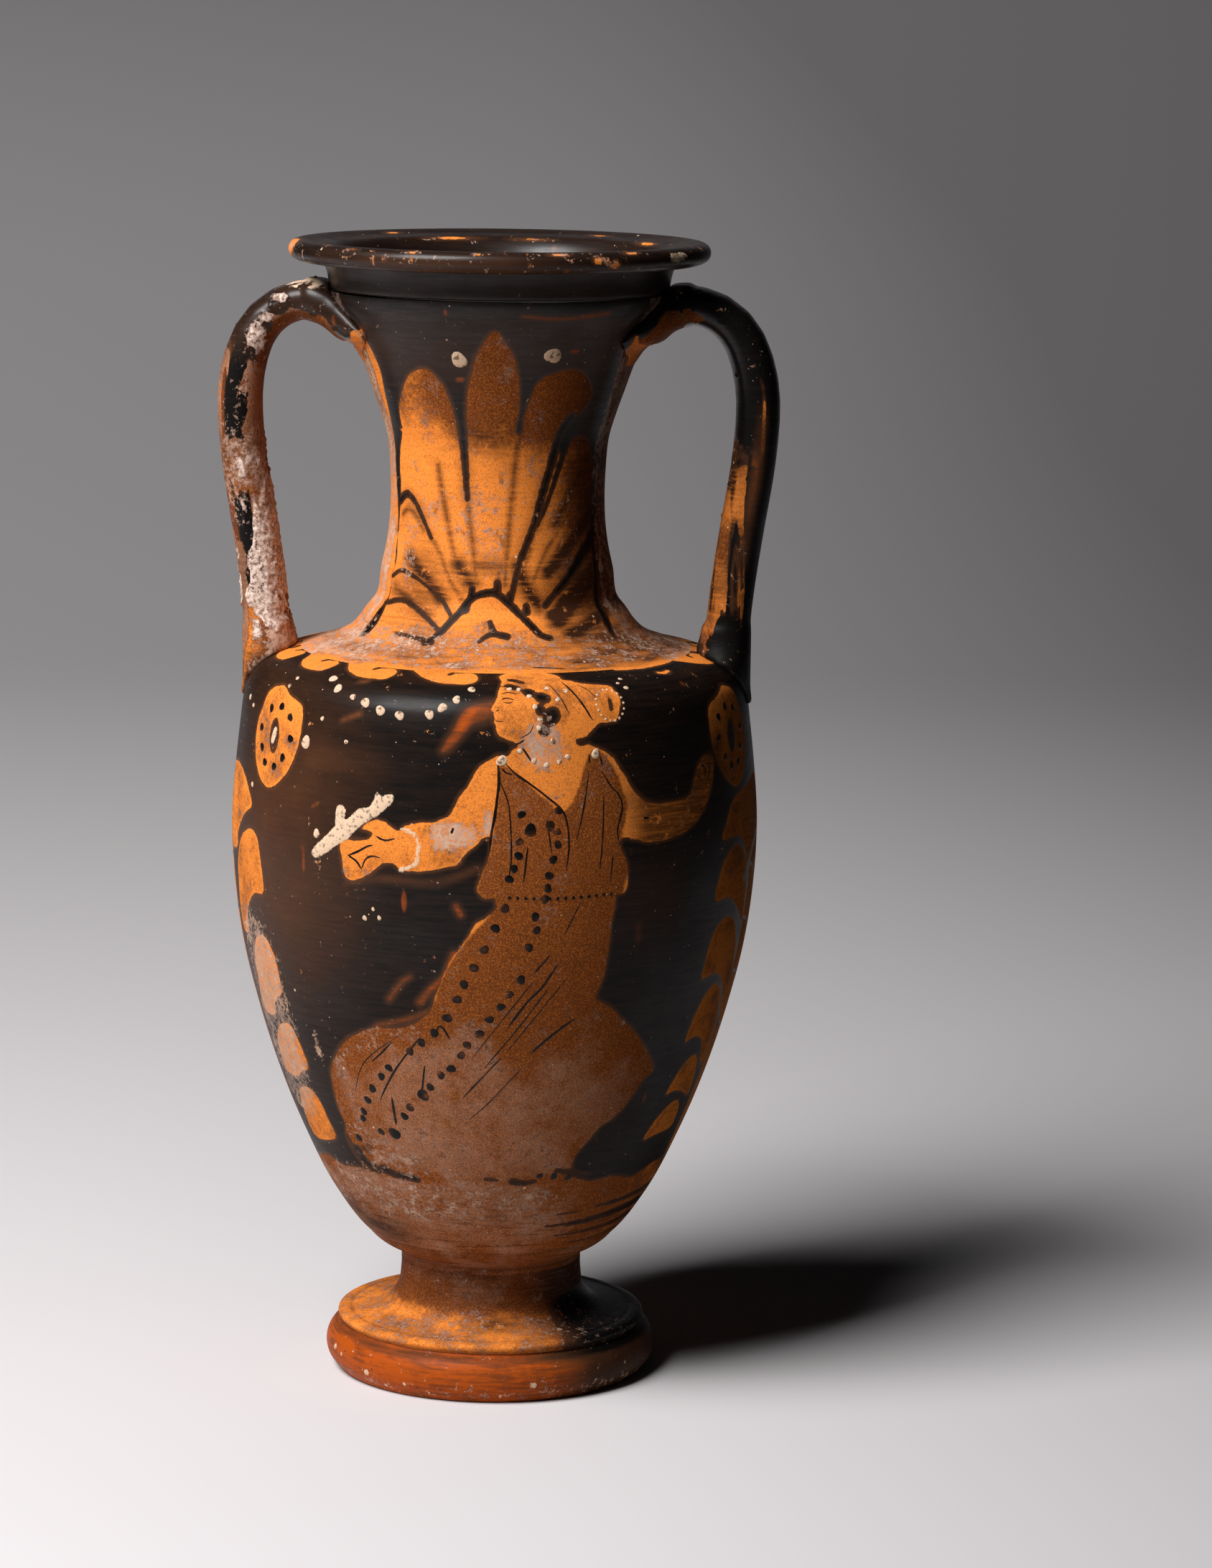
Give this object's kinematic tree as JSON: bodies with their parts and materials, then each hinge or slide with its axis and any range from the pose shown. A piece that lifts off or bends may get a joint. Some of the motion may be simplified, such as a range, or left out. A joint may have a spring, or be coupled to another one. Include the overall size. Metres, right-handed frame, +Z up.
{
  "type": "neck amphora",
  "caption": "Slender red-figure neck amphora: flat-lipped mouth, flared neck with strap handles arching to the shoulder, ovoid body, stemmed disc foot.",
  "frame": {"origin": "centre of the foot's resting ring, on the plane that it stands on", "axes": "+Z up along the vessel's axis; +X towards the right handle as seen from the painted front; the painted front faces -Y"},
  "size_m": [0.1702, 0.1614, 0.35],
  "materials": {
    "fired_clay": "matt orange fired clay, rubbed and darkened in places",
    "black_gloss": "black gloss slip over clay, soft sheen, worn through on the edges",
    "worn_slip": "thin brown slip, dull, streaked by the brush",
    "added_white": "matt cream clay paint, thin and chipped",
    "lime_crust": "rough pinkish-white burial crust"
  },
  "bodies": {
    "root": {"foot": "fired_clay", "foot_luting": "worn_slip", "body": "black_gloss", "neck_luting": "fired_clay", "neck": "black_gloss", "mouth_rim": "black_gloss", "handle_left": "black_gloss", "handle_left_top_luting": "black_gloss", "handle_left_root_luting": "worn_slip", "handle_right": "black_gloss", "handle_right_top_luting": "black_gloss", "handle_right_root_luting": "worn_slip"}
  },
  "joints": []
}
